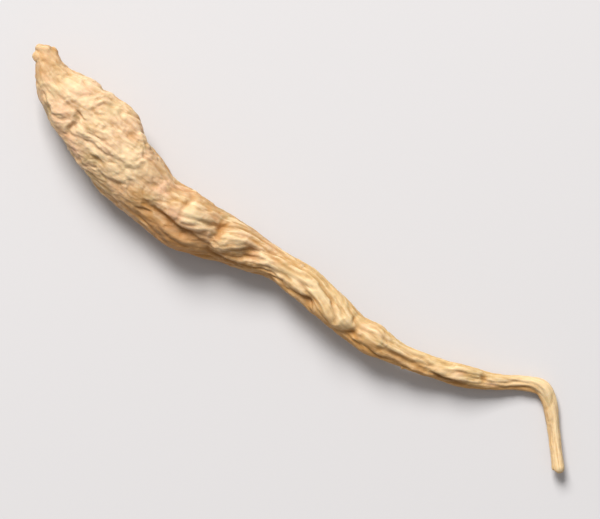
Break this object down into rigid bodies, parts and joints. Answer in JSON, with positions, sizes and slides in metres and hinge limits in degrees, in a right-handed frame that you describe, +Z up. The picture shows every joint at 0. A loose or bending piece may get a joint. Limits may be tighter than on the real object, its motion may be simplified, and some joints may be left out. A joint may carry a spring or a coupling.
{
  "type": "prince ginseng root",
  "caption": "Dried spindle-shaped medicinal root lying on its side, wrinkled skin, narrow lumpy neck and a long thin tail with a hooked tip.",
  "frame": {"origin": "bottom centre of the root's box, on the surface that the root lies on", "axes": "+X from the crown towards the tail, +Y across the root, +Z up from the surface"},
  "size_m": [0.0562, 0.0086, 0.0053],
  "materials": {
    "dried_skin": "matte, wrinkled, pale buff with brown in the furrows"
  },
  "bodies": {
    "root": {"ginseng_root": "dried_skin"}
  },
  "joints": []
}
